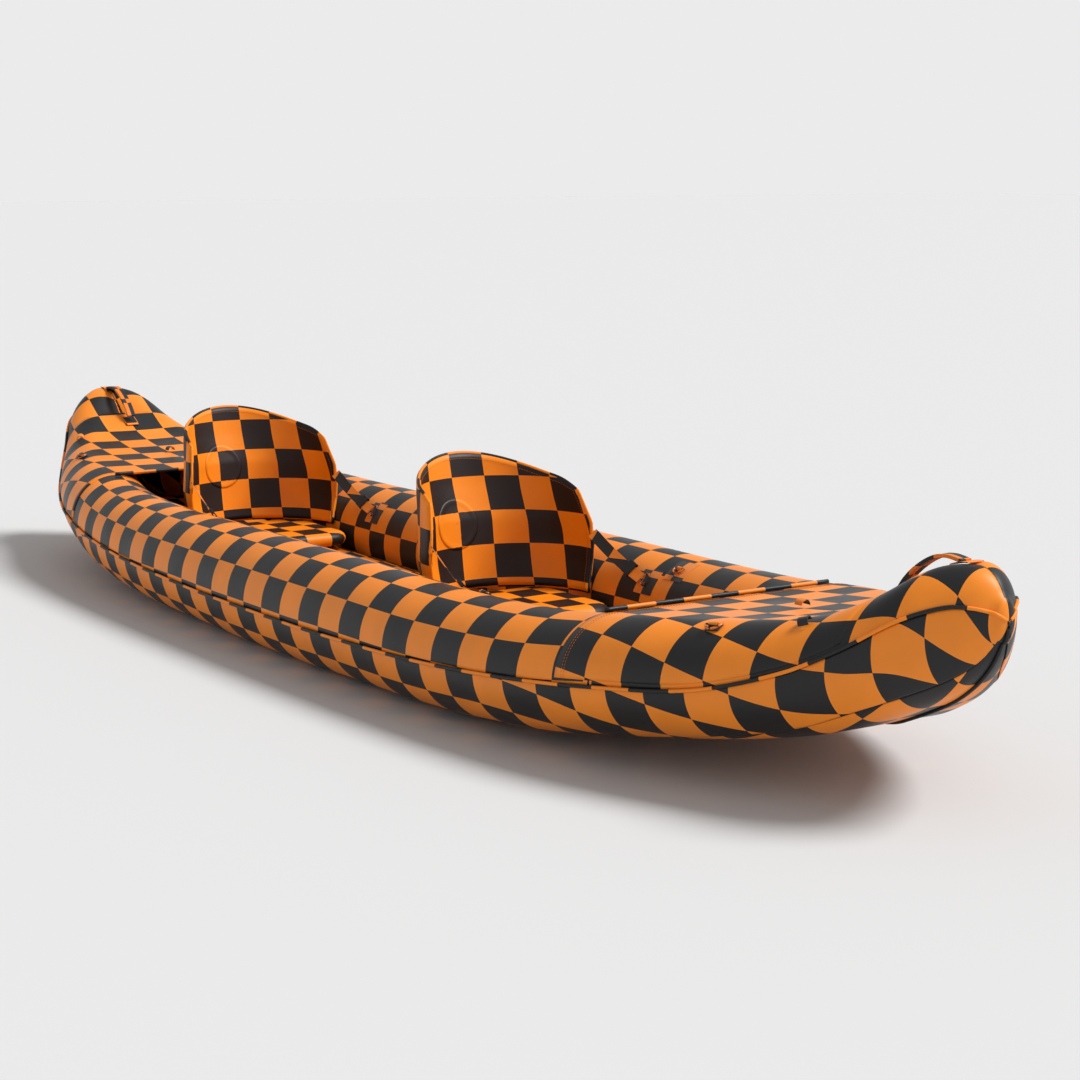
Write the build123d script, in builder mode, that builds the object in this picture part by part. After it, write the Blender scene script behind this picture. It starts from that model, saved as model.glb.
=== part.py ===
"""Two-seat inflatable kayak: fabric hull with inflated bladders, decks, seats and fittings.

Millimetres. +X points to the bow, +Y to port, +Z up. The origin is the point on the
ground under the middle of the hull.
"""
import os
from math import cos, degrees, radians, sin, sqrt

from build123d import *

# ---- driving dimensions -------------------------------------------------------------
HULL_LENGTH = 3800        # nose to nose
HULL_BEAM = 896           # outside of one tube to outside of the other, amidships
TUBE_RADIUS = 127         # side tube, amidships
NOSE_RISE = 230           # how far the tube's centre climbs from amidships to the nose
CENTRE_SEAM = 0.6         # gap where port and starboard pieces meet on the centre plane

COVER_WALL = 1.6          # coated fabric of the hull cover
BLADDER_GAP = 1.6         # between the cover and the bladder inside it
WELT_RADIUS = 3.5         # piping bead sewn into the side seam
WELT_GAP = 1.2            # between the bead and the cover it stands on

FLOOR_THICKNESS = 88      # inflated floor
FLOOR_LENGTH = 2800
FLOOR_GAP = 5             # between the floor and what it lies against

DECK_EDGE_X = 1150        # cockpit edge of each spray deck, from amidships
DECK_END_X = 1700         # where each deck runs into the nose
DECK_WALL = 1.6
DECK_GAP = 1.4            # between a deck and the cover under it
COAMING_RADIUS = 9        # rolled edge of each deck

SEAT_SPACING = 1200
SEAT_MIDDLE_X = -234      # midway between the two seats' backrest edges
CUSHION_LENGTH = 310
CUSHION_WIDTH = 344
CUSHION_TOP_Z = 154
CUSHION_GAP = 2
CUSHION_BACK = 105        # how far a cushion runs aft of its seat's own x
BACKREST_WALL = 16
BACKREST_HEIGHT = 296
BACKREST_GAP = 4          # above the cushion

STRAP_WIDTH = 25
STRAP_WALL = 1.6
STRAP_GAP = 3             # between a strap's end and what it is sewn to
RING_RADIUS = 15          # D-ring, to the middle of its rod
RING_ROD = 2.2            # radius of the rod
RING_GAP = 0.5            # between a rod and the webbing around it
PATCH_SIZE = 62           # side of a reinforcing patch
PATCH_WALL = 1.6
PATCH_GAP = 1.8

VALVE_RADIUS = 20
VALVE_DEPTH = 26
VALVE_FLANGE = 27
VALVE_GAP = 0.5
DRAIN_RADIUS = 9

PORT, STARBOARD = 1, -1
FRONT_SEAT_X = SEAT_MIDDLE_X + SEAT_SPACING / 2
REAR_SEAT_X = SEAT_MIDDLE_X - SEAT_SPACING / 2
HALF_LENGTH = HULL_LENGTH / 2
TUBE_OFFSET = HULL_BEAM / 2 - TUBE_RADIUS

FLAT_SHARE = 0.08         # the hull is straight this far either side of amidships

# Tube shape from amidships to the nose: distance, sideways offset, rise, half-breadth
# and half-depth, each a share of the driving size it belongs to, then the angles of the
# side seam and of the bottom seam, in degrees up from the outward horizontal.
STATIONS = [
    (0.000, 1.000, 0.00, 0.99, 1.00, -5, -80),
    (FLAT_SHARE, 1.000, 0.00, 0.99, 1.00, -5, -80),
    (0.185, 1.000, 0.01, 0.98, 0.98, -5, -80),
    (0.370, 0.985, 0.02, 0.95, 0.95, -2, -80),
    (0.530, 0.920, 0.08, 0.92, 0.91, 0, -80),
    (0.660, 0.780, 0.20, 0.91, 0.88, -3, -72),
    (0.765, 0.585, 0.30, 0.90, 0.84, -2, -62),
    (0.845, 0.385, 0.43, 0.87, 0.83, 8, -54),
    (0.895, 0.245, 0.61, 0.83, 0.87, 13, -50),
    (0.940, 0.120, 0.82, 0.78, 0.92, 17, -52),
    (0.970, 0.035, 0.93, 0.56, 0.78, 21, -56),
    (0.988, 0.012, 0.98, 0.355, 0.55, 21, -60),
    (0.998, 0.004, 1.00, 0.165, 0.30, 21, -60),
]


class Station:
    """One cross-section of a side tube, on the port side."""

    def __init__(self, x, y, z, breadth, depth, side_seam, bottom_seam):
        self.x = x * HALF_LENGTH
        self.y = y * TUBE_OFFSET
        self.z = TUBE_RADIUS + z * NOSE_RISE
        self.breadth = breadth * TUBE_RADIUS
        self.depth = depth * TUBE_RADIUS
        self.side_seam = side_seam
        self.bottom_seam = bottom_seam

    def point(self, angle, out=0):
        """Where the section stands `out` proud of the tube at an angle."""
        a = radians(angle)
        return (self.y + (self.breadth + out) * cos(a), self.z + (self.depth + out) * sin(a))

    def bottom(self):
        return self.z - self.depth

    def top(self):
        return self.z + self.depth


def slope(k, column):
    """How fast a column of STATIONS changes at row k."""
    low, high = STATIONS[max(k - 1, 0)], STATIONS[min(k + 1, len(STATIONS) - 1)]
    return 0 if k < 2 else (high[column] - low[column]) / (high[0] - low[0])


def station_at(x):
    """The section at any distance from amidships, on smooth curves through STATIONS."""
    share = min(abs(x) / HALF_LENGTH, STATIONS[-1][0])
    k = max(i for i in range(len(STATIONS) - 1) if STATIONS[i][0] <= share)
    near, far = STATIONS[k], STATIONS[k + 1]
    span = far[0] - near[0]
    t = (share - near[0]) / span
    row = [share]
    for column in range(1, len(near)):
        rise = far[column] - near[column]
        start, end = slope(k, column) * span, slope(k + 1, column) * span
        row.append(near[column] + t * start + t * t * (3 * rise - 2 * start - end)
                   + t * t * t * (start + end - 2 * rise))
    return Station(*row)


HALF_STEPS = 18           # sections from amidships to the nose, closer towards the nose
FULL = STATIONS[-1][0] * HALF_LENGTH
SECTION_X = [FULL * (1 - (1 - i / HALF_STEPS) ** 1.6) for i in range(HALF_STEPS + 1)]
SECTION_X += [FLAT_SHARE * HALF_LENGTH, DECK_EDGE_X, DECK_END_X, FLOOR_LENGTH / 2]


def hull_stations(lowest=-FULL, highest=FULL):
    """Every (x, station) between two limits, both limits included."""
    xs = sorted({round(x, 3) for x in SECTION_X} | {-round(x, 3) for x in SECTION_X})
    inner = [x for x in xs if lowest + 2 < x < highest - 2]
    return [(x, station_at(x)) for x in [lowest, *inner, highest]]


def section_plane(x):
    """A plane across the hull whose own x runs to port and own y runs up."""
    return Plane(origin=(x, 0, 0), x_dir=(0, 1, 0), z_dir=(1, 0, 0))


def centre_plane(gap):
    """Just to port of the hull's centre plane, facing port."""
    return Plane(origin=(0, gap / 2, 0), x_dir=(1, 0, 0), z_dir=(0, 1, 0))


def band_outline(station, inner, wall, start, end):
    """Closed outline of a skin that stands `inner` off the tube between two angles."""
    centre = (station.y, station.z)
    low = (station.breadth + inner, station.depth + inner)
    high = (low[0] + wall, low[1] + wall)
    with BuildLine() as outline:
        inside = EllipticalCenterArc(centre, *low, start_angle=start, arc_size=end - start)
        outside = EllipticalCenterArc(centre, *high, start_angle=start, arc_size=end - start)
        Line(inside @ 0, outside @ 0)
        Line(inside @ 1, outside @ 1)
    make_face(outline.edges())


def save(part, name):
    """Label a finished piece and write it."""
    part.label = name
    export_step(part, f"parts/{name}.step")


def save_both_sides(part, name):
    """Write a port piece and its starboard mirror image."""
    save(part, f"port_{name}")
    with BuildPart() as other:
        mirror(part, about=Plane.XZ)
    save(other.part, f"starboard_{name}")


os.makedirs("parts", exist_ok=True)
SKIN = -COVER_WALL                      # the cover's outside is the tube's own outline
BLADDER = -COVER_WALL - BLADDER_GAP

# ---- valves sit in holes through the cover and the bladder ---------------------------
VALVE_X = -50
VALVE_ANGLE = 150


def tube_point(x, angle, side, out=0):
    """A point `out` proud of a side tube."""
    y, z = station_at(x).point(angle, out)
    return Vector(x, side * y, z)


def tube_frame(x, angle, side, out=0):
    """A plane on a tube: own z points away from it, own x along it, to the bow on
    the port side and to the stern on the other, so that own y always points outboard."""
    along = tube_point(x + 4, angle, side) - tube_point(x - 4, angle, side)
    across = tube_point(x, angle + 1, side) - tube_point(x, angle - 1, side)
    normal = across.cross(along) * side
    origin = tube_point(x, angle, side) + normal.normalized() * out
    return Plane(origin=origin, x_dir=along * side, z_dir=normal)


def valve_hole(plane, depth):
    """Cut the round hole that a valve's barrel passes through."""
    with BuildSketch(plane.offset(10)) as hole:
        Circle(VALVE_RADIUS + VALVE_GAP)
    extrude(hole.sketch, amount=-(depth + 10), mode=Mode.SUBTRACT)


# ---- side tube bladders ---------------------------------------------------------------
with BuildPart() as bladder:
    for x, s in hull_stations():
        with BuildSketch(section_plane(x)):
            with Locations((s.y, s.z)):
                Ellipse(s.breadth + BLADDER, s.depth + BLADDER)
    loft(ruled=True)
    split(bisect_by=centre_plane(CENTRE_SEAM + 4), keep=Keep.TOP)
    valve_hole(tube_frame(VALVE_X, VALVE_ANGLE, PORT), VALVE_DEPTH + 6)
save_both_sides(bladder.part, "bladder")

# ---- tube covers: from the side seam over the top and down to the floor ----------------
COVER_INNER_EDGE = 224
with BuildPart() as cover:
    for x, s in hull_stations():
        with BuildSketch(section_plane(x)):
            band_outline(s, SKIN, COVER_WALL, s.side_seam + 1, COVER_INNER_EDGE)
    loft(ruled=True)
    split(bisect_by=centre_plane(CENTRE_SEAM), keep=Keep.TOP)
    valve_hole(tube_frame(VALVE_X, VALVE_ANGLE, PORT), VALVE_DEPTH)
save_both_sides(cover.part, "tube_cover")

# ---- side panels: from the side seam down to the bottom seam ---------------------------
with BuildPart() as side_panel:
    for x, s in hull_stations():
        with BuildSketch(section_plane(x)):
            band_outline(s, SKIN, COVER_WALL, s.bottom_seam, s.side_seam - 1)
    loft(ruled=True)
    split(bisect_by=centre_plane(CENTRE_SEAM), keep=Keep.TOP)
save_both_sides(side_panel.part, "side_panel")

# ---- bottom panel: under both tubes, seam to seam --------------------------------------
with BuildPart() as bottom_panel:
    for x, s in hull_stations():
        with BuildSketch(section_plane(x)):
            seam = s.bottom_seam - 2
            with BuildLine():
                low = EllipticalCenterArc((s.y, s.z), s.breadth, s.depth,
                                          start_angle=-90, arc_size=seam + 90)
                high = EllipticalCenterArc((s.y, s.z), s.breadth - COVER_WALL,
                                           s.depth - COVER_WALL, start_angle=-90, arc_size=seam + 90)
                Line(low @ 1, high @ 1)
                Line(low @ 0, (0, s.bottom()))
                Line(high @ 0, (0, s.bottom() + COVER_WALL))
                mirror(about=Plane.YZ)
            make_face()
    loft(ruled=True)

# ---- side seam piping: one bead down each side, wrapping to the centre of the nose -----
with BuildPart() as welt:
    for x, s in hull_stations():
        with BuildSketch(section_plane(x)):
            with Locations(s.point(s.side_seam, WELT_RADIUS + WELT_GAP)):
                Circle(WELT_RADIUS)
    loft(ruled=True)
save_both_sides(welt.part, "side_piping")

# ---- inflated floor: lies on the bottom panel between the tubes ------------------------
FLOOR_CORNER = 34


def floor_half_width(s):
    """Half the width of the floor where its top edge meets the tubes."""
    drop = (s.z - s.bottom() - COVER_WALL - FLOOR_GAP / 2 - FLOOR_THICKNESS) / s.depth
    return s.y - s.breadth * sqrt(1 - drop * drop) - FLOOR_GAP


def floor_top(x):
    s = station_at(x)
    return s.bottom() + COVER_WALL + FLOOR_GAP / 2 + FLOOR_THICKNESS


FLOOR_VALVE_X = 90
with BuildPart() as air_floor:
    for x, s in hull_stations(-FLOOR_LENGTH / 2, FLOOR_LENGTH / 2):
        with BuildSketch(section_plane(x)):
            with Locations((0, floor_top(x) - FLOOR_THICKNESS / 2)):
                RectangleRounded(2 * floor_half_width(s), FLOOR_THICKNESS, FLOOR_CORNER)
    loft(ruled=True)
    floor_valve_plane = Plane(origin=(FLOOR_VALVE_X, 0, floor_top(FLOOR_VALVE_X)))
    valve_hole(floor_valve_plane, VALVE_DEPTH + 4)
save(air_floor.part, "air_floor")

# ---- spray decks: taut fabric over both tubes at each end, with a rolled cockpit edge --
for end, sign in (("bow", 1), ("stern", -1)):
    ends = sorted((sign * DECK_EDGE_X, sign * DECK_END_X))
    with BuildPart() as deck:
        for x, s in hull_stations(*ends):
            low, high = DECK_GAP, DECK_GAP + DECK_WALL
            start = s.side_seam + 6
            with BuildSketch(section_plane(x)):
                with BuildLine():
                    under = EllipticalCenterArc((s.y, s.z), s.breadth + low, s.depth + low,
                                                start_angle=start, arc_size=90 - start)
                    over = EllipticalCenterArc((s.y, s.z), s.breadth + high, s.depth + high,
                                               start_angle=start, arc_size=90 - start)
                    Line(under @ 0, over @ 0)
                    Line(under @ 1, (0, s.top() + low))
                    Line(over @ 1, (0, s.top() + high))
                    mirror(about=Plane.YZ)
                make_face()
        loft(ruled=True)
    save(deck.part, f"{end}_deck")

    edge = station_at(DECK_EDGE_X)
    with BuildPart() as roll:
        roll_x = sign * (DECK_EDGE_X - COAMING_RADIUS - DECK_GAP)
        with BuildSketch(Plane(origin=(roll_x, 0, edge.top() + COAMING_RADIUS + DECK_GAP),
                               x_dir=(1, 0, 0), z_dir=(0, 1, 0))):
            Circle(COAMING_RADIUS)
        extrude(amount=edge.y + 10, both=True)
        fillet(roll.edges(), COAMING_RADIUS * 0.4)
    save(roll.part, f"{end}_coaming_roll")

# ---- seats -----------------------------------------------------------------------------
BACKREST_BASE = CUSHION_TOP_Z + BACKREST_GAP
# Backrest sections: height above its base, where its wings end, half-width and depth.
BACKREST_ROWS = [(0, 128, 145, 205), (24, 78, 186, 178), (60, 40, 212, 170), (106, 38, 212, 180),
                 (152, 38, 207, 188), (229, 4, 190, 184), (BACKREST_HEIGHT, -20, 176, 178)]
BACKREST_EDGE_DROP = 56   # how far the top edge falls from its middle to its wings


def backrest_skin(seat_x, inner, outer):
    """Loft a curved wall open to the front, between two offsets from its middle line."""
    for height, wing_x, half_width, depth in BACKREST_ROWS:
        centre = (seat_x + wing_x, 0)
        with BuildSketch(Plane.XY.offset(BACKREST_BASE + height)) as level:
            with BuildLine() as outline:
                inside = EllipticalCenterArc(centre, depth + inner, half_width + inner,
                                             start_angle=90, arc_size=180)
                outside = EllipticalCenterArc(centre, depth + outer, half_width + outer,
                                              start_angle=90, arc_size=180)
                Line(outside @ 0, inside @ 0)
                Line(outside @ 1, inside @ 1)
            make_face(outline.edges())
        yield level.sketch


def make_seat(name, seat_x):
    with BuildPart() as cushion:
        rear, fore = seat_x - CUSHION_BACK, seat_x - CUSHION_BACK + CUSHION_LENGTH
        lowest = max(floor_top(rear), floor_top(fore)) + CUSHION_GAP
        middle = seat_x - CUSHION_BACK + CUSHION_LENGTH / 2
        with BuildSketch(Plane.XY.offset(lowest)):
            with Locations((middle, 0)):
                RectangleRounded(CUSHION_LENGTH, CUSHION_WIDTH, 60)
        extrude(amount=CUSHION_TOP_Z - lowest)
        fillet(cushion.edges().group_by(Axis.Z)[-1], 18)
    save(cushion.part, f"{name}_cushion")

    with BuildPart() as backrest:
        half_wall = BACKREST_WALL / 2
        loft(list(backrest_skin(seat_x, -half_wall, half_wall)), ruled=True)
        top = BACKREST_BASE + BACKREST_HEIGHT
        with BuildSketch(Plane(origin=(seat_x, 0, 0), x_dir=(0, 1, 0), z_dir=(1, 0, 0))):
            with BuildLine():
                arch = ThreePointArc((-230, top - 1.6 * BACKREST_EDGE_DROP), (0, top),
                                     (230, top - 1.6 * BACKREST_EDGE_DROP))
                Polyline(arch @ 0, (-230, top + 60), (230, top + 60), arch @ 1)
            make_face()
        extrude(amount=300, both=True, mode=Mode.SUBTRACT)
    save(backrest.part, f"{name}_backrest")


make_seat("front", FRONT_SEAT_X)
make_seat("rear", REAR_SEAT_X)

# ---- round reinforcing patch welded on the front of each backrest, around its valve ----
DISC_RADIUS = 58
DISC_WALL = 1.2
DISC_GAP = 0.4
for name, seat_x in (("front", FRONT_SEAT_X), ("rear", REAR_SEAT_X)):
    with BuildPart() as disc:
        face = -BACKREST_WALL / 2 - DISC_GAP
        loft(list(backrest_skin(seat_x, face - DISC_WALL, face)), ruled=True)
        aim = Plane(origin=(seat_x, -22, BACKREST_BASE + 150), z_dir=(-1, -0.1, -0.05))
        with BuildSketch(aim) as spot:
            Circle(DISC_RADIUS)
        extrude(spot.sketch, amount=300, mode=Mode.INTERSECT)
    save(disc.part, f"{name}_backrest_disc")

# ---- D-rings, each in a webbing keeper on a patch or a tab ------------------------------
BAR_HEIGHT = PATCH_GAP + PATCH_WALL + RING_ROD + RING_GAP + 1.8
KEEPER_LENGTH = 17
with BuildPart() as d_ring:
    with BuildSketch(Plane.XZ):
        with Locations((RING_RADIUS, 0)):
            Circle(RING_ROD)
    revolve(axis=Axis.Z, revolution_arc=180)
    with Locations((-RING_RADIUS, 0, 0), (RING_RADIUS, 0, 0)):
        Sphere(RING_ROD)
    with BuildSketch(Plane.YZ.offset(-RING_RADIUS)):
        Circle(RING_ROD)
    extrude(amount=2 * RING_RADIUS)


def add_keeper(plane, base_height):
    """A webbing keeper along the plane's own x, standing on its base, around a ring's bar."""
    outer = RING_ROD + RING_GAP + 1.8
    with BuildPart(mode=Mode.PRIVATE) as keeper:
        with BuildSketch(Plane.YZ.offset(-KEEPER_LENGTH / 2)):
            with Locations((0, BAR_HEIGHT)):
                Circle(outer)
            with Locations((0, (BAR_HEIGHT + base_height) / 2)):
                Rectangle(2 * outer, BAR_HEIGHT - base_height)
            with Locations((0, BAR_HEIGHT)):
                Circle(RING_ROD + RING_GAP, mode=Mode.SUBTRACT)
        extrude(amount=KEEPER_LENGTH)
    add(keeper.part.moved(Location(plane)))


def ring_plane(surface, hangs, side):
    """Where a ring's bar sits on a surface plane, so that the ring hangs aft, in or out."""
    x_dir = {"aft": surface.y_dir * side, "in": -surface.x_dir, "out": surface.x_dir}[hangs]
    return Plane(origin=surface.origin, x_dir=x_dir, z_dir=surface.z_dir)


def save_ring(plane, name):
    lifted = Location(Plane(origin=plane.origin + plane.z_dir * BAR_HEIGHT,
                            x_dir=plane.x_dir, z_dir=plane.z_dir))
    save(d_ring.part.moved(lifted), name)


SEAT_RING_X = 237         # ahead of the backrest's wings
SEAT_RING_ANGLE = 143
SPARE_RING_X, SPARE_RING_ANGLE = 680, 122
TUBE_RINGS = [("front_strap_ring", FRONT_SEAT_X + SEAT_RING_X, SEAT_RING_ANGLE, "aft"),
              ("rear_strap_ring", REAR_SEAT_X + SEAT_RING_X, SEAT_RING_ANGLE, "aft"),
              ("spare_ring", SPARE_RING_X, SPARE_RING_ANGLE, "in")]

for side, side_name in ((PORT, "port"), (STARBOARD, "starboard")):
    with BuildPart() as patches:
        for name, x, angle, hangs in TUBE_RINGS:
            s = station_at(x)
            half_turn = degrees(PATCH_SIZE / 2 / s.breadth)
            with BuildSketch(section_plane(x - PATCH_SIZE / 2)) as patch:
                band_outline(s, PATCH_GAP, PATCH_WALL, angle - half_turn, angle + half_turn)
            piece = extrude(patch.sketch, amount=PATCH_SIZE, mode=Mode.PRIVATE)
            add(piece if side == PORT else mirror(piece, about=Plane.XZ, mode=Mode.PRIVATE))
            plane = ring_plane(tube_frame(x, angle, side), hangs, side)
            add_keeper(plane, PATCH_GAP + PATCH_WALL / 2)
            save_ring(plane, f"{side_name}_{name}")
    save(patches.part, f"{side_name}_ring_patches")

# ---- fittings on the decks: a ring on a tab each side, and plain webbing loops ----------
DECK_SURFACE = DECK_GAP + DECK_WALL
DECK_RING_X, DECK_RING_ANGLE = 1435, 66
DECK_LOOP_X, DECK_LOOP_ANGLE = 1605, 62
CENTRE_LOOP_X = 1385
TAB = (30, 26)
LOOP_INNER, LOOP_WALL, LOOP_WIDTH, LOOP_GAP = 9, 1.6, 20, 3.2


def add_loop(plane):
    """A webbing loop: a low arch across the plane's own x, on its surface."""
    with BuildPart(mode=Mode.PRIVATE) as loop:
        with BuildSketch(Plane.YZ.offset(-LOOP_WIDTH / 2)):
            Circle(LOOP_INNER + LOOP_WALL)
            Circle(LOOP_INNER, mode=Mode.SUBTRACT)
            with Locations((0, -LOOP_INNER)):
                Rectangle(4 * LOOP_INNER, 2 * LOOP_INNER, mode=Mode.SUBTRACT)
        extrude(amount=LOOP_WIDTH)
    add(loop.part.moved(Location(plane)))


for end, sign in (("bow", 1), ("stern", -1)):
    with BuildPart() as tabs:
        for side, side_name in ((PORT, "port"), (STARBOARD, "starboard")):
            lift = DECK_SURFACE - PATCH_GAP + 1
            surface = tube_frame(sign * DECK_RING_X, DECK_RING_ANGLE, side, lift)
            plane = ring_plane(surface, "out", side)
            with BuildSketch(plane.offset(PATCH_GAP)) as tab:
                RectangleRounded(TAB[0], TAB[1], 3)
            extrude(tab.sketch, amount=PATCH_WALL)
            add_keeper(plane, PATCH_GAP + PATCH_WALL / 2)
            save_ring(plane, f"{end}_{side_name}_deck_ring")
    save(tabs.part, f"{end}_deck_tabs")

    with BuildPart() as loops:
        for side in (PORT, STARBOARD):
            add_loop(tube_frame(sign * DECK_LOOP_X, DECK_LOOP_ANGLE, side, DECK_SURFACE + LOOP_GAP))
        top = station_at(CENTRE_LOOP_X).top() + DECK_SURFACE + LOOP_GAP
        add_loop(Plane(origin=(sign * CENTRE_LOOP_X, 0, top)))
    save(loops.part, f"{end}_deck_loops")

# ---- grab handles: a webbing arch at each end, sewn down at both ends --------------------
HANDLE_WIDTH, HANDLE_WALL = 24, 2.6
HANDLE_FEET = ((1652, 372), (1728, 436), (1804, 452))
HANDLE_PATCH = (34, 28, 1.6)
HANDLE_GAP = 3.4          # between a flat handle patch and the curved deck under it
for end, sign in (("bow", 1), ("stern", -1)):
    with BuildPart() as handle:
        with BuildSketch(Plane.XZ.offset(-HANDLE_WIDTH / 2)):
            with BuildLine():
                ThreePointArc(*[(sign * x, z) for x, z in HANDLE_FEET])
            trace(line_width=HANDLE_WALL)
        extrude(amount=HANDLE_WIDTH)
    save(handle.part, f"{end}_handle")

    with BuildPart() as handle_patches:
        for x in (HANDLE_FEET[0][0] + 4, HANDLE_FEET[2][0] + 10):
            rise = station_at(x + 5).top() - station_at(x - 5).top()
            surface = Plane(origin=(sign * x, 0, station_at(x).top()),
                            x_dir=(0, 1, 0), z_dir=(-sign * rise, 0, 10))
            with BuildSketch(surface.offset(DECK_SURFACE + HANDLE_GAP)) as pad:
                RectangleRounded(HANDLE_PATCH[1], HANDLE_PATCH[0], 4)
            extrude(pad.sketch, amount=HANDLE_PATCH[2])
    save(handle_patches.part, f"{end}_handle_patches")

# ---- seat straps, with a sliding buckle on each ------------------------------------------
STRAP_Z = 286             # where a strap leaves its wing
WING_X, WING_Y = BACKREST_ROWS[4][1:3]
BUCKLE = (34, 8, 22)
BUCKLE_PLACE = 0.72       # share of the strap's length from the backrest
BUCKLE_SLOT = (STRAP_WIDTH + 2.4, STRAP_WALL + 2.2)
for seat, seat_x in (("front", FRONT_SEAT_X), ("rear", REAR_SEAT_X)):
    for side, side_name in ((PORT, "port"), (STARBOARD, "starboard")):
        ring_x = seat_x + SEAT_RING_X
        surface = tube_frame(ring_x, SEAT_RING_ANGLE, side, BAR_HEIGHT)
        reach = RING_RADIUS + RING_ROD + STRAP_GAP
        ring_end = surface.origin - surface.x_dir * (side * reach)
        wing_end = Vector(seat_x + WING_X + STRAP_GAP + 4, side * WING_Y, STRAP_Z)
        length = (ring_end - wing_end).length
        run = Plane(origin=wing_end, x_dir=surface.y_dir, z_dir=ring_end - wing_end)
        with BuildPart() as strap:
            with BuildSketch(run):
                Rectangle(STRAP_WIDTH, STRAP_WALL)
            extrude(amount=length)
        save(strap.part, f"{seat}_{side_name}_strap")
        with BuildPart() as buckle:
            with BuildSketch(run.offset(BUCKLE_PLACE * length)):
                RectangleRounded(BUCKLE[0], BUCKLE[1], 2)
                Rectangle(*BUCKLE_SLOT, mode=Mode.SUBTRACT)
            extrude(amount=BUCKLE[2])
        save(buckle.part, f"{seat}_{side_name}_buckle")

# ---- valves and their turning caps --------------------------------------------------------
VALVE_BORE = 13
FLANGE_WALL = 3
CAP_RADIUS, CAP_HEIGHT, CAP_GAP = 23, 8, 0.3


def make_valve(plane, name):
    seat_height = 0.8
    with BuildPart() as valve:
        with BuildSketch(plane.offset(seat_height)):
            Circle(VALVE_FLANGE)
        extrude(amount=FLANGE_WALL)
        with BuildSketch(plane.offset(seat_height - VALVE_DEPTH)):
            Circle(VALVE_RADIUS)
        extrude(amount=VALVE_DEPTH)
        with BuildSketch(plane.offset(seat_height - VALVE_DEPTH + 3)):
            Circle(VALVE_BORE)
        extrude(amount=VALVE_DEPTH + FLANGE_WALL, mode=Mode.SUBTRACT)
    save(valve.part, name)
    with BuildPart() as cap:
        with BuildSketch(plane.offset(seat_height + FLANGE_WALL + CAP_GAP)):
            Circle(CAP_RADIUS)
            with PolarLocations(CAP_RADIUS + 1, 12):
                Circle(2.4, mode=Mode.SUBTRACT)
        extrude(amount=CAP_HEIGHT)
        with BuildSketch(plane.offset(seat_height + FLANGE_WALL + CAP_GAP - 9)):
            Circle(VALVE_BORE - 0.1)
        extrude(amount=9)
    save(cap.part, f"{name}_cap")


make_valve(tube_frame(VALVE_X, VALVE_ANGLE, PORT), "port_valve")
make_valve(tube_frame(VALVE_X, VALVE_ANGLE, STARBOARD), "starboard_valve")
make_valve(floor_valve_plane, "floor_valve")

# ---- drain in the bottom panel under the stern deck, with a plug that pulls up ------------
DRAIN_X = -1560
DRAIN_FLANGE, DRAIN_SLEEVE, DRAIN_BORE = 17, 9, 6
DRAIN_GAP = 0.5
drain_rise = station_at(DRAIN_X + 5).bottom() - station_at(DRAIN_X - 5).bottom()
drain_plane = Plane(origin=(DRAIN_X, 0, station_at(DRAIN_X).bottom() + COVER_WALL),
                    x_dir=(0, 1, 0), z_dir=(-drain_rise, 0, 10))
with BuildPart() as drained_panel:
    add(bottom_panel.part)
    with BuildSketch(drain_plane.offset(6)):
        Circle(DRAIN_SLEEVE + DRAIN_GAP)
    extrude(amount=-12, mode=Mode.SUBTRACT)
save(drained_panel.part, "bottom_panel")

with BuildPart() as drain:
    with BuildSketch(drain_plane.offset(0.8)):
        Circle(DRAIN_FLANGE)
    extrude(amount=2.5)
    with BuildSketch(drain_plane.offset(0.8)):
        Circle(DRAIN_SLEEVE)
    extrude(amount=-4)
    with BuildSketch(drain_plane.offset(5)):
        Circle(DRAIN_BORE)
    extrude(amount=-10, mode=Mode.SUBTRACT)
save(drain.part, "drain_fitting")

with BuildPart() as plug:
    with BuildSketch(drain_plane.offset(0.8 + 2.5 + 0.3)):
        Circle(DRAIN_FLANGE - 4)
    extrude(amount=5)
    with BuildSketch(drain_plane.offset(4)):
        Circle(DRAIN_BORE - 0.1)
    extrude(amount=-8)
    fillet(plug.edges().filter_by(GeomType.CIRCLE).group_by(Axis.Z)[-1], 1.5)
save(plug.part, "drain_plug")

# ---- stem piping: the same bead down the front of each nose -------------------------------
STEM_OUT = WELT_RADIUS + 7
stem_points = []
for x in (1790, 1822, 1850, 1874):
    s = station_at(x)
    stem_points.append((x + 0.6 * STEM_OUT, s.bottom() - 0.8 * STEM_OUT))
tip = station_at(FULL)
stem_points += [(FULL + STEM_OUT, tip.z - 0.6 * tip.depth), (FULL + STEM_OUT, tip.z + 4)]
for end, sign in (("bow", 1), ("stern", -1)):
    with BuildPart() as stem:
        with BuildLine() as run:
            FilletPolyline(*[(sign * x, 0, z) for x, z in stem_points], radius=12)
        with BuildSketch(Plane(origin=run.line @ 0, z_dir=run.line % 0)):
            Circle(WELT_RADIUS)
        sweep()
    save(stem.part, f"{end}_stem_piping")
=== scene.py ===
"""Looks of a two-seat inflatable kayak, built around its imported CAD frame.

Metres. +X points to the bow, +Y to port, +Z up, and the hull stands on z = 0.
"""
from math import ceil, cos, pi, radians, sin, sqrt

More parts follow.
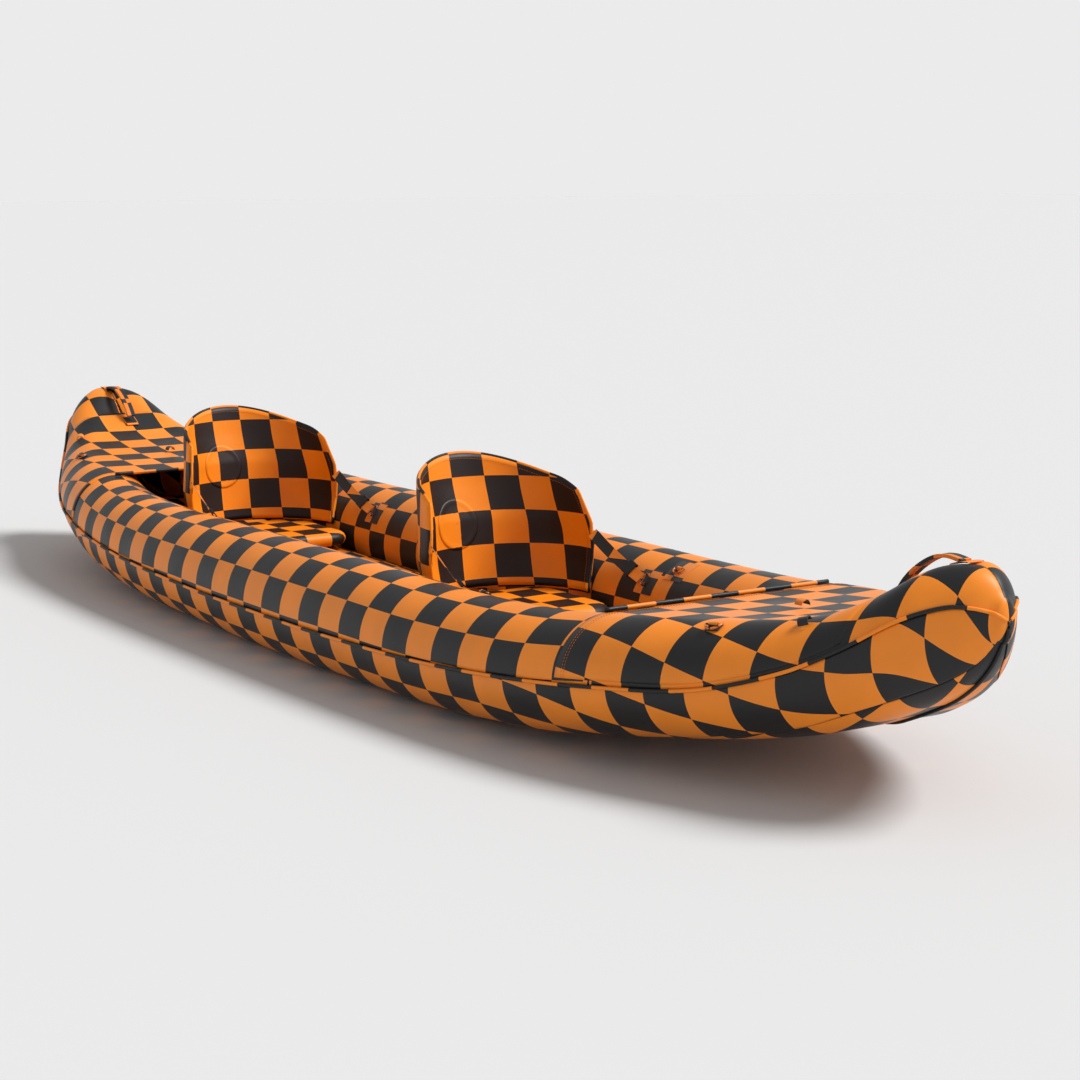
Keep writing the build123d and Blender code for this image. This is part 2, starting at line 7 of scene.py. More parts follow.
import bmesh
import bpy
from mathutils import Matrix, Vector


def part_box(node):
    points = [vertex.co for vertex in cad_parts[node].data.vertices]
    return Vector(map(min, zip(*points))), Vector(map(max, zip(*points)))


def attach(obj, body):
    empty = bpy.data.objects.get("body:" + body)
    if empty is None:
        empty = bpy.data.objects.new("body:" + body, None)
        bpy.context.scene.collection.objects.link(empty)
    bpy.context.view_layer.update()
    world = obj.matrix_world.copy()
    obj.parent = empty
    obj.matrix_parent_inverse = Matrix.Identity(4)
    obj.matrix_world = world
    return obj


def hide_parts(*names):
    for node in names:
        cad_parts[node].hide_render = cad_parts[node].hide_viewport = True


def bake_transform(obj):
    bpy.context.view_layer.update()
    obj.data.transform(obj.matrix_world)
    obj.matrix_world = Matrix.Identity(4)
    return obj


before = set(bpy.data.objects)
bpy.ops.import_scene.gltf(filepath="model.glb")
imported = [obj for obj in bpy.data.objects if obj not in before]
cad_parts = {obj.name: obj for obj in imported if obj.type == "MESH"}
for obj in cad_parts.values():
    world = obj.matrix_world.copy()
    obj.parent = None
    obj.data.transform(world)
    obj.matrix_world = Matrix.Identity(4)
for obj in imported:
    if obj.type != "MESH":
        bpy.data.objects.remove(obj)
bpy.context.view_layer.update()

# ---- camera ---------------------------------------------------------------------------
# A long lens ahead of the starboard bow, a little above the tubes.
camera_data = bpy.data.cameras.new("camera")
camera_data.lens = 76.58
camera_data.sensor_width = 36
camera_data.clip_end = 200
camera = bpy.data.objects.new("camera", camera_data)
camera.location = (4.577, -2.690, 1.101)
aim = Vector((0.511, 0, 0.302)) - camera.location
camera.rotation_euler = aim.to_track_quat("-Z", "Y").to_euler()
bpy.context.scene.collection.objects.link(camera)
bpy.context.scene.camera = camera
bpy.context.scene.view_settings.view_transform = "Standard"

# ---- studio ---------------------------------------------------------------------------
# A pale seamless floor and one wide soft lamp, high to port of the bow.
STUDIO_GREY = "#EBEBEB"
FLOOR_GREY = "#D0D0D0"


def linear(hex_colour):
    """An sRGB hex colour as linear RGBA."""
    values = [int(hex_colour[i:i + 2], 16) / 255 for i in (1, 3, 5)]
    return (*[v / 12.92 if v <= 0.04045 else ((v + 0.055) / 1.055) ** 2.4 for v in values], 1)


def add_node(tree, kind, settings=None, links=None):
    """Add one node: settings are properties or unlinked sockets, links are sockets to join."""
    node = tree.nodes.new(kind)
    for name, value in (settings or {}).items():
        if isinstance(name, int) or name in node.inputs:
            node.inputs[name].default_value = value
        else:
            setattr(node, name, value)
    for name, source in (links or {}).items():
        tree.links.new(source, node.inputs[name])
    return node


def new_material(name):
    material = bpy.data.materials.new(name)
    material.use_nodes = True
    material.node_tree.nodes.clear()
    return material, material.node_tree


def finish_material(tree, settings, links):
    shader = add_node(tree, "ShaderNodeBsdfPrincipled", settings, links)
    add_node(tree, "ShaderNodeOutputMaterial", links={"Surface": shader.outputs["BSDF"]})


def mesh_piece(name, points, faces, prints=None, smooth=True):
    """A mesh object at the origin; prints gives each point its place on the printed check."""
    mesh = bpy.data.meshes.new(name)
    mesh.from_pydata([tuple(p) for p in points], [], faces)
    if prints:
        layer = mesh.uv_layers.new(name="print")
        for loop in mesh.loops:
            layer.data[loop.index].uv = prints[loop.vertex_index]
    mesh.validate()
    piece = bpy.data.objects.new(name, mesh)
    bpy.context.scene.collection.objects.link(piece)
    if smooth:
        mesh.shade_smooth()
    return piece


studio_paper, tree = new_material("matte_studio_paper")
finish_material(tree, {"Base Color": linear(FLOOR_GREY), "Roughness": 0.95,
                       "Specular IOR Level": 0.1}, {})
floor = mesh_piece("studio_floor", [(-60, -60, -0.003), (60, -60, -0.003), (60, 60, -0.003),
                                    (-60, 60, -0.003)], [(0, 1, 2, 3)])
floor.data.materials.append(studio_paper)

# The sky is bright round the horizon, where it is seen, and dimmer overhead.
world = bpy.data.worlds.new("studio_sky")
world.use_nodes = True
sky = world.node_tree
sky.nodes.clear()
direction = add_node(sky, "ShaderNodeTexCoord")
split = add_node(sky, "ShaderNodeSeparateXYZ", {}, {"Vector": direction.outputs["Generated"]})
height = add_node(sky, "ShaderNodeMapRange", {"From Min": 0.10, "From Max": 0.55, "To Min": 1.0,
                                              "To Max": 0.50}, {"Value": split.outputs["Z"]})
background = add_node(sky, "ShaderNodeBackground", {"Color": linear(STUDIO_GREY)},
                      {"Strength": height.outputs["Result"]})
add_node(sky, "ShaderNodeOutputWorld", links={"Surface": background.outputs["Background"]})
bpy.context.scene.world = world

sun_lamp = bpy.data.lights.new("wide_lamp", "SUN")
sun_lamp.angle = radians(22)
sun_lamp.energy = 3.4
sun_object = bpy.data.objects.new("wide_lamp", sun_lamp)
sun_object.rotation_euler = Vector((-1.7, -2.6, -3.9)).to_track_quat("-Z", "Y").to_euler()
bpy.context.scene.collection.objects.link(sun_object)

# ---- tube covers ----------------------------------------------------------------------
# The upper half of each side tube: PVC-coated polyester, printed with an orange and
# charcoal check, drawn tight by the bladder inside it and sewn to the panel below.
HALF_LENGTH, TUBE_OFFSET, TUBE_RADIUS, NOSE_RISE = 1.900, 0.321, 0.127, 0.230
COVER_WALL = 0.0016
COVER_INNER_EDGE = 224
DECK_EDGE_X, DECK_END_X = 1.150, 1.700
NOSE_X = 0.998 * HALF_LENGTH
NOSE_DOME = 0.012         # how far the closed tip stands ahead of the last full section
# Share of the half length, sideways offset, rise, half-breadth, half-depth, then the
# angles of the side seam and the bottom seam.
SECTIONS = [
    (0.000, 1.000, 0.00, 0.99, 1.00, -5, -80), (0.080, 1.000, 0.00, 0.99, 1.00, -5, -80),
    (0.185, 1.000, 0.01, 0.98, 0.98, -5, -80),
    (0.370, 0.985, 0.02, 0.95, 0.95, -2, -80), (0.530, 0.920, 0.08, 0.92, 0.91, 0, -80),
    (0.660, 0.780, 0.20, 0.91, 0.88, -3, -72), (0.765, 0.585, 0.30, 0.90, 0.84, -2, -62),
    (0.845, 0.385, 0.43, 0.87, 0.83, 8, -54), (0.895, 0.245, 0.61, 0.83, 0.87, 13, -50),
    (0.940, 0.120, 0.82, 0.78, 0.92, 17, -52), (0.970, 0.035, 0.93, 0.56, 0.78, 21, -56),
    (0.988, 0.012, 0.98, 0.355, 0.55, 21, -60), (0.998, 0.004, 1.00, 0.165, 0.30, 21, -60),
]


def section_slope(k, column):
    """How fast one value changes at row k; the hull is straight up to the second row."""
    low, high = SECTIONS[max(k - 1, 0)], SECTIONS[min(k + 1, len(SECTIONS) - 1)]
    return 0 if k < 2 else (high[column] - low[column]) / (high[0] - low[0])


def section(x):
    """Tube section at x: centre y and z, half-breadth, half-depth, side and bottom seam.
    Past NOSE_X it closes in a small dome."""
    share = min(abs(x) / HALF_LENGTH, SECTIONS[-1][0])
    k = max(i for i in range(len(SECTIONS) - 1) if SECTIONS[i][0] <= share)
    near, far = SECTIONS[k], SECTIONS[k + 1]
    span = far[0] - near[0]
    t = (share - near[0]) / span
    values = []
    for column in range(1, 7):
        rise = far[column] - near[column]
        start, end = section_slope(k, column) * span, section_slope(k + 1, column) * span
        values.append(near[column] + t * start + t * t * (3 * rise - 2 * start - end)
                      + t * t * t * (start + end - 2 * rise))
    offset, lift, breadth, depth, side_seam, bottom_seam = values
    close = sqrt(max(0.0, 1 - (max(0.0, abs(x) - NOSE_X) / NOSE_DOME) ** 2))
    return (offset * TUBE_OFFSET * close, TUBE_RADIUS + lift * NOSE_RISE,
            breadth * TUBE_RADIUS * close, depth * TUBE_RADIUS * close, side_seam, bottom_seam)


def on_tube(x, angle, side, out=0):
    """A point `out` proud of a side tube."""
    y, z, breadth, depth, _, _ = section(x)
    a = radians(angle)
    return Vector((x, side * (y + (breadth + out) * cos(a)), z + (depth + out) * sin(a)))


# Places along the hull and how many checks lie between them and amidships.
CHECKS_ALONG = [(-1.93, -25.2), (-1.024, -13), (-0.748, -9), (-0.514, -6), (-0.268, -3),
                (-0.019, 0), (0.509, 6), (1.046, 12), (1.142, 13), (1.547, 17.9),
                (1.706, 19.9), (1.93, 23.1)]
CHECK_TURN = 33           # degrees of the round tube that one check covers
FIRST_ROW = 1.5           # degrees above level where the count round a tube starts
BOW_CHECK = 0.085         # side of a check on the decks and noses


def checks_along(x):
    """Checks counted along the hull from amidships, forward positive."""
    k = max(i for i in range(len(CHECKS_ALONG) - 1) if CHECKS_ALONG[i][0] <= x or i == 0)
    (x0, n0), (x1, n1) = CHECKS_ALONG[k], CHECKS_ALONG[k + 1]
    return n0 + (n1 - n0) * (x - x0) / (x1 - x0)


def ease(value, low, high):
    """0 below low, 1 above high, and a smooth curve between."""
    t = min(max((value - low) / (high - low), 0), 1)
    return t * t * (3 - 2 * t)


def around_tube(angle):
    """Checks counted round a straight tube from its side seam."""
    return (angle - FIRST_ROW) / CHECK_TURN


def from_middle(x, angle):
    """Checks counted from the hull's middle line, down over the top of the tube to port."""
    y, _, breadth, depth, _, _ = section(x)
    return -(y + radians(90 - angle) * (breadth + depth) / 2) / BOW_CHECK + 1


def spaced(low, high, step):
    count = max(2, ceil((high - low) / step))
    return [low + (high - low) * i / count for i in range(count + 1)]


FINE_X, FINE_STEP, BROAD_STEP = 1.62, 0.008, 0.020


def stations_along(low, high):
    """Places along the hull, closer together towards the noses, with the domed tips."""
    places = (spaced(low, -FINE_X, FINE_STEP) + spaced(-FINE_X, FINE_X, BROAD_STEP)[1:]
              + spaced(FINE_X, high, FINE_STEP)[1:])
    tip = [NOSE_X + NOSE_DOME * sin(radians(t)) for t in (20, 40, 58, 73, 84, 89)]
    return [-x for x in tip[::-1]] + places + tip


MIDDLE_GAP = 0.0003       # from the middle line to the edge of each side's fabric


def skin_grid(name, side, places, columns, low, high, out, print_at):
    """Fabric over a tube between two angles, with its place on the print."""
    points, prints, faces = [], [], []
    for x in places:
        start, end = low(x), high(x)
        for j in range(columns + 1):
            angle = start + (end - start) * j / columns
            point = on_tube(x, angle, side, out(x))
            point.y = side * max(side * point.y, MIDDLE_GAP)
            points.append(point)
            along, rows = print_at(x, angle)
            prints.append((along, rows if side > 0 else -rows))
    across = columns + 1
    for i in range(len(places) - 1):
        for j in range(columns):
            quad = (i * across + j, (i + 1) * across + j,
                    (i + 1) * across + j + 1, i * across + j + 1)
            faces.append(quad if side > 0 else quad[::-1])
    return mesh_piece(name, points, faces, prints)


def thicken(piece, wall):
    """Give a fabric its wall, inwards from its outer face, and bake it in."""
    solid = piece.modifiers.new("fabric_wall", "SOLIDIFY")
    solid.thickness = wall
    solid.offset = -1
    depsgraph = bpy.context.evaluated_depsgraph_get()
    mesh = bpy.data.meshes.new_from_object(piece.evaluated_get(depsgraph))
    piece.modifiers.clear()
    piece.data = mesh
    mesh.shade_smooth()


def printed_fabric(name, orange, charcoal, roughness, thread_mm, relief):
    """Coated fabric with a printed check; thread_mm is the cloth's thread spacing."""
    material, tree = new_material(name)
    place = add_node(tree, "ShaderNodeUVMap", {"uv_map": "print"})
    check = add_node(tree, "ShaderNodeTexChecker",
                     {"Color1": linear(orange), "Color2": linear(charcoal), "Scale": 1.0},
                     {"Vector": place.outputs["UV"]})
    spot = add_node(tree, "ShaderNodeTexCoord")
    dust = add_node(tree, "ShaderNodeTexNoise", {"Scale": 9.0, "Detail": 3.0},
                    {"Vector": spot.outputs["Object"]})
    shade = add_node(tree, "ShaderNodeMapRange", {"From Min": 0.3, "From Max": 0.7,
                                                  "To Min": 0.93, "To Max": 1.06},
                     {"Value": dust.outputs["Fac"]})
    tint = add_node(tree, "ShaderNodeHueSaturation", {}, {"Color": check.outputs["Color"],
                                                          "Value": shade.outputs["Result"]})
    gloss = add_node(tree, "ShaderNodeMapRange", {"From Min": 0.3, "From Max": 0.7,
                                                  "To Min": roughness - 0.05,
                                                  "To Max": roughness + 0.06},
                     {"Value": dust.outputs["Fac"]})
    weave = add_node(tree, "ShaderNodeTexNoise", {"Scale": 1000 / thread_mm, "Detail": 1.0},
                     {"Vector": spot.outputs["Object"]})
    ripple = add_node(tree, "ShaderNodeTexNoise", {"Scale": 14.0, "Detail": 2.0},
                      {"Vector": spot.outputs["Object"]})
    fine = add_node(tree, "ShaderNodeBump", {"Strength": relief, "Distance": 0.0006},
                    {"Height": weave.outputs["Fac"]})
    broad = add_node(tree, "ShaderNodeBump", {"Strength": 0.25, "Distance": 0.004},
                     {"Height": ripple.outputs["Fac"], "Normal": fine.outputs["Normal"]})
    finish_material(tree, {"IOR": 1.5, "Specular IOR Level": 0.28},
                    {"Base Color": tint.outputs["Color"], "Roughness": gloss.outputs["Result"],
                     "Normal": broad.outputs["Normal"]})
    return material


# PVC coating over polyester: a satin skin with a soft broad highlight. The thread is
# drawn 1.5 mm apart, coarser than the real 0.5 mm, so that it shows.
printed_pvc = printed_fabric("pvc_coated_polyester_printed", "#EE8826", "#222121", 0.42, 1.5, 0.12)

SIDES = ((1, "port"), (-1, "starboard"))
ENDS = (("bow", 1), ("stern", -1))
NOSE_PRINT_X = 1.23
COVER_COLUMNS = 56


def cover_print(x, angle):
    rows = around_tube(angle) if abs(x) < NOSE_PRINT_X else from_middle(x, angle)
    return checks_along(x), rows


for side, side_name in SIDES:
    cover = skin_grid(f"{side_name}_upper_cover", side, stations_along(-NOSE_X, NOSE_X), COVER_COLUMNS,
                      lambda x: section(x)[4] + 1, lambda x: COVER_INNER_EDGE,
                      lambda x: 0, cover_print)
    thicken(cover, COVER_WALL)
    cover.data.materials.append(printed_pvc)
    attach(cover, "hull")
    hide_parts(f"{side_name}_tube_cover")

# ---- side panels ----------------------------------------------------------------------
# The lower half of each tube, from the side seam down to the bottom seam, cut from the
# same printed fabric; its check doesn't meet the cover's at the seam.
SIDE_PANEL_SHIFT = 0.45   # of a check, along the hull
SIDE_PANEL_ROWS = 5.08    # checks between the cover's count and the panel's at the noses
PANEL_COLUMNS = 28


def panel_print(x, angle):
    share = ease(abs(x), 0.85, 1.30)
    rows = (1 - share) * around_tube(angle) + share * (from_middle(x, angle) + SIDE_PANEL_ROWS)
    return checks_along(x) + SIDE_PANEL_SHIFT, rows


for side, side_name in SIDES:
    panel = skin_grid(f"{side_name}_lower_panel", side, stations_along(-NOSE_X, NOSE_X), PANEL_COLUMNS,
                      lambda x: section(x)[5], lambda x: section(x)[4] - 1,
                      lambda x: 0, panel_print)
    thicken(panel, COVER_WALL)
    panel.data.materials.append(printed_pvc)
    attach(panel, "hull")
    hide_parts(f"{side_name}_side_panel")

# ---- bottom panel ---------------------------------------------------------------------
# One sheet of the same fabric under both tubes, flat across the middle and turned up
# round each tube to the bottom seam.
BOTTOM_COLUMNS = 14


def bottom_rows(x):
    """Half of the panel's line across the hull at x, from the middle to a seam."""
    y, z, breadth, depth, _, seam = section(x)
    low = z - depth
    flat = [(y * j / BOTTOM_COLUMNS, low) for j in range(BOTTOM_COLUMNS)]
    angles = [radians(-90 + (seam + 88) * j / BOTTOM_COLUMNS) for j in range(BOTTOM_COLUMNS + 1)]
    return flat + [(y + breadth * cos(a), z + depth * sin(a)) for a in angles]


points, prints, faces = [], [], []
bottom_places = stations_along(-NOSE_X, NOSE_X)
for x in bottom_places:
    half = bottom_rows(x)
    line = [(-y, z) for y, z in half[:0:-1]] + half
    walked = [0]
    for (y0, z0), (y1, z1) in zip(line, line[1:]):
        walked.append(walked[-1] + sqrt((y1 - y0) ** 2 + (z1 - z0) ** 2))
    for (y, z), distance in zip(line, walked):
        points.append((x, y, z))
        prints.append((checks_along(x) + 0.2, (distance - walked[-1] / 2) / BOW_CHECK + 0.5))
across = len(line)
for i in range(len(bottom_places) - 1):
    for j in range(across - 1):
        faces.append((i * across + j, i * across + j + 1,
                      (i + 1) * across + j + 1, (i + 1) * across + j))
bottom = mesh_piece("bottom_sheet", points, faces, prints)
thicken(bottom, COVER_WALL)
bottom.data.materials.append(printed_pvc)
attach(bottom, "hull")
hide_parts("bottom_panel")

# ---- side and stem piping -------------------------------------------------------------
# A cord sewn into a strip of the same fabric, caught in each side seam and down each
# stem. It stands proud of the seam and carries the check as coloured lengths.
BEAD_RADIUS, BEAD_GAP = 0.0035, 0.0012
STEM_START = 1.60


def swept_tube(name, centres, radius, ring_count, print_along, squash=1.0):
    """A round or oval bead along a line of points, with closed ends."""
    points, prints, faces = [], [], []
    for i, centre in enumerate(centres):
        ahead = centres[min(i + 1, len(centres) - 1)] - centres[max(i - 1, 0)]
        along = ahead.normalized()
        sideways = along.cross(Vector((0, 0, 1)))
        sideways = sideways.normalized() if sideways.length > 0.1 else Vector((0, 1, 0))
        upwards = sideways.cross(along)
        for j in range(ring_count):
            turn = 2 * pi * j / ring_count
            points.append(centre + sideways * (radius * cos(turn))
                          + upwards * (radius * squash * sin(turn)))
            prints.append((print_along[i], 0.5))
    for i in range(len(centres) - 1):
        for j in range(ring_count):
            k = (j + 1) % ring_count
            faces.append((i * ring_count + j, (i + 1) * ring_count + j,
                          (i + 1) * ring_count + k, i * ring_count + k))
    faces.append(tuple(range(ring_count)))
    faces.append(tuple((len(centres) - 1) * ring_count + j for j in range(ring_count))[::-1])
    return mesh_piece(name, points, faces, prints)


for side, side_name in SIDES:
    places = stations_along(-NOSE_X, NOSE_X)
    centres = [on_tube(x, section(x)[4], side, BEAD_RADIUS + BEAD_GAP) for x in places]
    piping = swept_tube(f"{side_name}_seam_piping", centres, BEAD_RADIUS, 10,
                        [checks_along(x) + 0.75 for x in places])
    piping.data.materials.append(printed_pvc)
    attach(piping, "hull")
    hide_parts(f"{side_name}_side_piping")

for end, sign in ENDS:
    keel = [Vector((sign * x, 0, section(x)[1] - section(x)[3])) for x in
            [p for p in stations_along(-NOSE_X, NOSE_X) if p > STEM_START]]
    line = []
    for k, point in enumerate(keel):
        ahead = keel[min(k + 1, len(keel) - 1)] - keel[max(k - 1, 0)]
        proud = Vector((sign * abs(ahead.z), 0, -abs(ahead.x))).normalized()
        # The first of the bead is tucked in under the fabric.
        tuck = 1.8 * (1 - ease(abs(point.x), STEM_START, STEM_START + 0.06))
        line.append(point + proud * BEAD_RADIUS * (0.6 - tuck))
    stem = swept_tube(f"{end}_stem_bead", line, BEAD_RADIUS, 10, [0.3] * len(line))
    stem.data.materials.append(printed_pvc)
    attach(stem, "hull")
    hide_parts(f"{end}_stem_piping")

# ---- spray decks ----------------------------------------------------------------------
# Taut fabric over both tubes at each end, sewn down into the side seams. A welt ends
# it at the cockpit and the nose takes up its other end.
DECK_OUT, DECK_END_OUT = 0.0030, 0.0017
DECK_COLUMNS, FLAT_COLUMNS = 22, 10
DECK_SLACK = 0.004        # how far the fabric dips between the tubes
HEM_ANGLE = 6             # degrees above the side seam where the deck ends


def deck_line(x):
    """Points across a deck at x, starboard to port, with their checks from the middle."""
    y, z, breadth, depth, seam, _ = section(x)
    out = DECK_OUT + (DECK_END_OUT - DECK_OUT) * ease(abs(x), DECK_END_X - 0.15, DECK_END_X)
    start = seam + HEM_ANGLE
    half = [(y * j / FLAT_COLUMNS, z + depth + out, 1 - (y * j / FLAT_COLUMNS) / BOW_CHECK)
            for j in range(FLAT_COLUMNS)]
    for j in range(DECK_COLUMNS + 1):
        angle = 90 - (90 - start) * j / DECK_COLUMNS
        a = radians(angle)
        half.append((y + (breadth + out) * cos(a), z + (depth + out) * sin(a),
                     from_middle(x, angle)))
    return [(-a, b, 2 - c) for a, b, c in half[:0:-1]] + half


for end, sign in ENDS:
    places = spaced(DECK_EDGE_X, DECK_END_X, 0.015)
    points, prints, faces = [], [], []
    for x in places:
        line = deck_line(x)
        slack = DECK_SLACK * ease(x, DECK_EDGE_X, DECK_EDGE_X + 0.1) * ease(DECK_END_X - x, 0, 0.1)
        for y, z, rows in line:
            sag = slack * max(0, 1 - (y / (section(x)[0] + 0.02)) ** 2)
            points.append((sign * x, y, z - sag))
            prints.append((checks_along(sign * x), rows))
    across = len(line)
    for i in range(len(places) - 1):
        for j in range(across - 1):
            quad = (i * across + j, (i + 1) * across + j,
                    (i + 1) * across + j + 1, i * across + j + 1)
            faces.append(quad if sign > 0 else quad[::-1])
    deck = mesh_piece(f"{end}_spray_deck", points, faces, prints)
    thicken(deck, COVER_WALL)
    deck.data.materials.append(printed_pvc)
    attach(deck, "hull")
    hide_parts(f"{end}_deck")

# ---- coaming rolls --------------------------------------------------------------------
# A foam cord rolled into the cockpit edge of each deck, over the tubes and straight
# across between them, with the print showing as alternate lengths.
ROLL_SEGMENT, ROLL_RADIUS = 0.066, 0.0046
ROLL_STEP = 0.012
tube_y, tube_z, breadth, depth, _, _ = section(DECK_EDGE_X)
for end, sign in ENDS:
    low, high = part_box(f"{end}_coaming_roll")
    line = []
    for y in spaced(low.y + ROLL_STEP, high.y - ROLL_STEP, ROLL_STEP):
        lean = max(0.0, abs(y) - tube_y) / breadth
        line.append(Vector(((low.x + high.x) / 2, y, tube_z + depth * sqrt(1 - lean * lean)
                            + DECK_OUT + ROLL_RADIUS * 0.7)))
    roll = swept_tube(f"{end}_rolled_edge", line, ROLL_RADIUS, 12,
                      [p.y / ROLL_SEGMENT + 0.35 for p in line])
    roll.data.materials.append(printed_pvc)
    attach(roll, "hull")
    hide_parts(f"{end}_coaming_roll")

# ---- inflated floor -------------------------------------------------------------------
# A drop-stitch air mat: two skins held flat by threads inside it, with rounded edges.
# It lies on the bottom panel and fills the space between the tubes.
FLOOR_THICKNESS, FLOOR_GAP, FLOOR_CORNER, FLOOR_END = 0.088, 0.005, 0.034, 1.400


def floor_section(x):
    """Half-width, and the heights of the mat's underside and top."""
    y, z, breadth, depth, _, _ = section(x)
    low = z - depth + COVER_WALL + FLOOR_GAP / 2
    drop = (z - low - FLOOR_THICKNESS) / depth
    return y - breadth * sqrt(1 - drop * drop) - FLOOR_GAP, low, low + FLOOR_THICKNESS


points, prints, faces = [], [], []
floor_places = spaced(-FLOOR_END, FLOOR_END, 0.02)
for x in floor_places:
    half, low, top = floor_section(x)
    close = min(1, sqrt(max(0.0, 1 - max(0, (abs(x) - FLOOR_END + 0.04) / 0.04) ** 2)) + 0.55)
    middle, reach = (low + top) / 2, FLOOR_THICKNESS / 2 * close
    ring = []
    for corner, (sy, sz) in enumerate(((1, 1), (-1, 1), (-1, -1), (1, -1))):
        for step in range(7):
            turn = radians(90 * corner + 90 * step / 6)
            ring.append((sy * (half - FLOOR_CORNER) + FLOOR_CORNER * cos(turn),
                         middle + sz * (reach - FLOOR_CORNER * close) + FLOOR_CORNER * close * sin(turn)))
        if corner in (0, 2):
            inner = sy * (half - FLOOR_CORNER)
            for step in range(1, 12):
                ring.append((inner - 2 * inner * step / 12, middle + sz * reach))
    for y, z in ring:
        points.append((x, y, z))
        prints.append((checks_along(x) + 0.4, y / 0.08 + (z - top) / 0.08 * (1 if y > 0 else -1)))
across = len(ring)
for i in range(len(floor_places) - 1):
    for j in range(across):
        k = (j + 1) % across
        faces.append((i * across + j, (i + 1) * across + j, (i + 1) * across + k, i * across + k)[::-1])
faces.append(tuple(range(across))[::-1])
faces.append(tuple((len(floor_places) - 1) * across + j for j in range(across)))
# Drop-stitch skin: the same coating with the dimple of each thread, satin.
mat_skin = printed_fabric("drop_stitch_skin_printed", "#E8801C", "#221C1B", 0.48, 4.0, 0.35)
air_mat = mesh_piece("drop_stitch_floor", points, faces, prints)
air_mat.data.materials.append(mat_skin)
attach(air_mat, "hull")
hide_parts("air_floor")

# ---- seat cushions --------------------------------------------------------------------
# A foam slab welded into the printed fabric, crowned on top, with a rolled front edge.
# It is held to the floor by hook-and-loop tape underneath.
SEAT_CHECK = 0.072
# Laminated seat fabric: finer and a little duller than the hull's, browner in its darks.
seat_fabric = printed_fabric("laminated_seat_fabric_printed", "#F2860F", "#231713", 0.46, 1.2, 0.15)
SEATS = (("front", 0.366, 0.4), ("rear", -0.834, 0.1))


def rounded_plan(half_x, half_y, corner, steps):
    """Corner-rounded outline, anticlockwise from above."""
    outline = []
    for turn, (sx, sy) in enumerate(((1, 1), (-1, 1), (-1, -1), (1, -1))):
        for step in range(steps + 1):
            a = radians(90 * turn + 90 * step / steps)
            outline.append((sx * (half_x - corner) + corner * cos(a),
                            sy * (half_y - corner) + corner * sin(a)))
    return outline


for seat, seat_x, shift in SEATS:
    low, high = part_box(f"{seat}_cushion")
    middle = (low + high) / 2
    half_x, half_y = (high.x - low.x) / 2, (high.y - low.y) / 2
    height = high.z - low.z
    # Share of the height, how far the outline pulls in there.
    profile = [(0.0, 0.010), (0.10, 0.004), (0.30, 0.001), (0.52, 0.0), (0.74, 0.003),
               (0.88, 0.009), (0.96, 0.018), (0.99, 0.030)]
    points, prints, faces = [], [], []
    plan = rounded_plan(half_x, half_y, 0.060, 9)
    for rise, pull in profile:
        for px, py in plan:
            scale_x, scale_y = (half_x - pull) / half_x, (half_y - pull) / half_y
            points.append((middle.x + px * scale_x, middle.y + py * scale_y, low.z + rise * height))
    crown = [(0.80, 0.997), (0.60, 1.0), (0.36, 0.99), (0.14, 0.98)]
    edge_pull = profile[-1][1]
    for share, rise in crown:
        for px, py in plan:
            points.append((middle.x + px * (half_x - edge_pull) / half_x * share,
                           middle.y + py * (half_y - edge_pull) / half_y * share,
                           low.z + rise * height))
    rows = len(profile) + len(crown)
    across = len(plan)
    for i in range(rows - 1):
        for j in range(across):
            k = (j + 1) % across
            faces.append((i * across + j, i * across + k, (i + 1) * across + k, (i + 1) * across + j))
    faces.append(tuple(range(across))[::-1])
    faces.append(tuple((rows - 1) * across + j for j in range(across)))
    for px, py, _ in points:
        prints.append(((px - middle.x) / SEAT_CHECK + shift, (py - middle.y) / SEAT_CHECK + 0.5))
    pad = mesh_piece(f"{seat}_seat_pad", points, faces, prints)
    pad.data.materials.append(seat_fabric)
    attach(pad, "hull")
    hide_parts(f"{seat}_cushion")

# ---- backrests ------------------------------------------------------------------------
# A foam-stiffened wrap-around back: one curved panel, bound along its edge, that sweeps
# down into a wing on each side. It tilts about a line across its lower edge.
BACKREST_ROWS = [(0.000, 0.062, 0.186, 0.188), (0.024, 0.050, 0.196, 0.182),
                 (0.060, 0.040, 0.208, 0.178), (0.106, 0.038, 0.212, 0.182),
                 (0.152, 0.038, 0.207, 0.188), (0.229, 0.004, 0.190, 0.184),
                 (0.296, -0.020, 0.176, 0.178)]
BACK_BASE, BACK_TOP, BACK_EDGE_DROP = 0.158, 0.454, 0.0896
BACK_COLUMNS, BACK_LEVELS = 48, 26


def back_row(height):
    """Wing place, half-width and depth at a height above the base."""
    for near, far in zip(BACKREST_ROWS, BACKREST_ROWS[1:]):
        if height <= far[0]:
            t = (height - near[0]) / (far[0] - near[0])
            return [a + (b - a) * t for a, b in zip(near[1:], far[1:])]
    return list(BACKREST_ROWS[-1][1:])


def back_top(y):
    """Height of the arched top edge at y, above the base."""
    chord, drop = 0.230, BACK_EDGE_DROP
    radius = (chord * chord + drop * drop) / (2 * drop)
    return BACK_TOP - BACK_BASE - (radius - sqrt(max(radius * radius - y * y, 0.0)))


def back_point(seat_x, turn, height, out):
    """A point `out` behind the middle of the panel's wall, a turn round from port."""
    wing_x, half_width, depth = back_row(height)
    return Vector((seat_x + wing_x + (depth + out) * cos(turn), (half_width + out) * sin(turn),
                   BACK_BASE + height))


def walked_along(row_points):
    """Distance of each point of a row from the row's middle, along the row."""
    walked = [0]
    for a, b in zip(row_points, row_points[1:]):
        walked.append(walked[-1] + (b - a).length)
    return [w - walked[len(walked) // 2] for w in walked]


